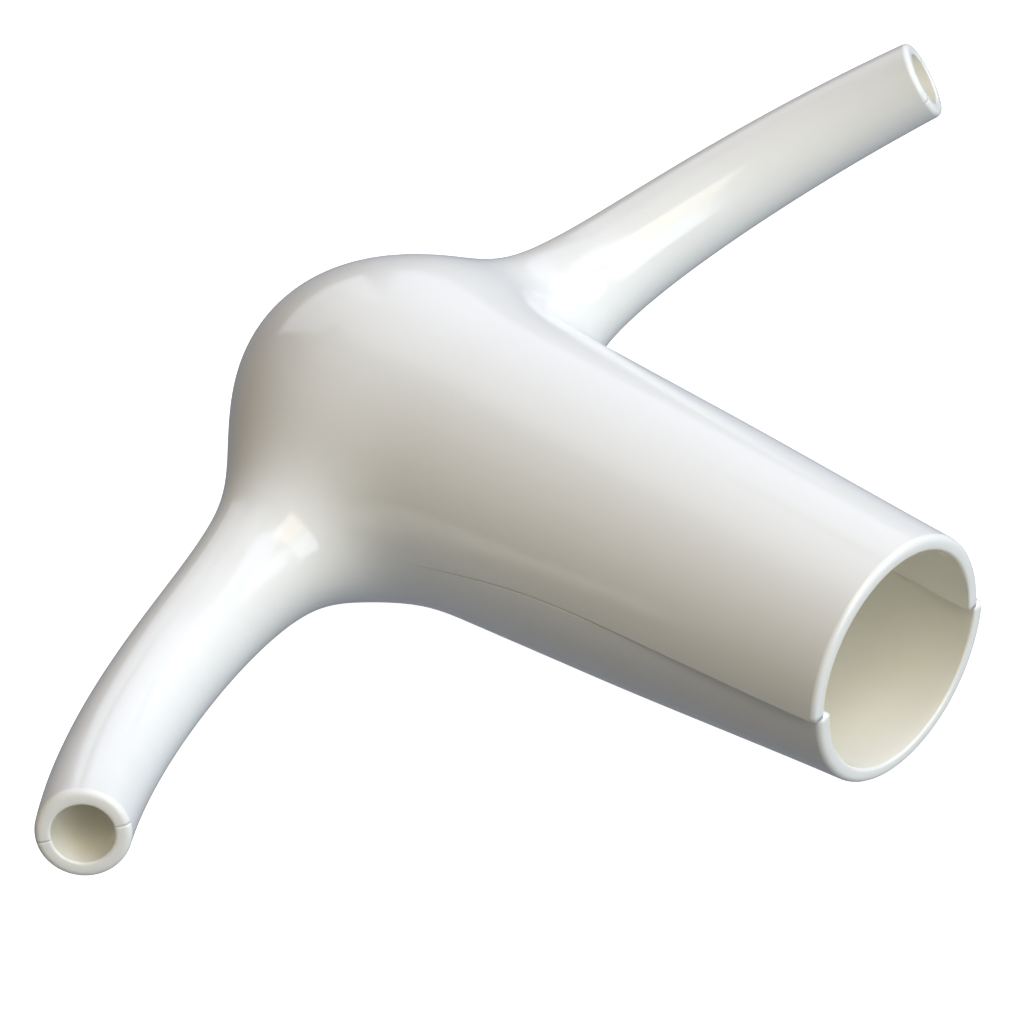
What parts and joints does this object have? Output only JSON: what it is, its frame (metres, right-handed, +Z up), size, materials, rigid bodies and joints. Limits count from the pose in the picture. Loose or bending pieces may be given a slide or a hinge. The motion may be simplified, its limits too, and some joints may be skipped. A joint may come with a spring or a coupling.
{
  "type": "saliva ejector tip",
  "caption": "Thin-walled white plastic T with a wide tapering socket barrel, a closed dome and two curved tapering suction arms, moulded as two half shells",
  "frame": {"origin": "centre of the bounding box's base: below the barrel, midway between dome and mouth, at the height of the barrel's lowest line", "axes": "+X runs along the barrel's axis toward its open mouth, the two arms reach to -Y and +Y and curve toward +X and +Z, +Z is up"},
  "size_m": [0.0536, 0.0836, 0.0217],
  "materials": {
    "white_plastic": "smooth glossy moulded white plastic"
  },
  "bodies": {
    "root": {"upper_shell": "white_plastic", "lower_shell": "white_plastic"}
  },
  "joints": []
}
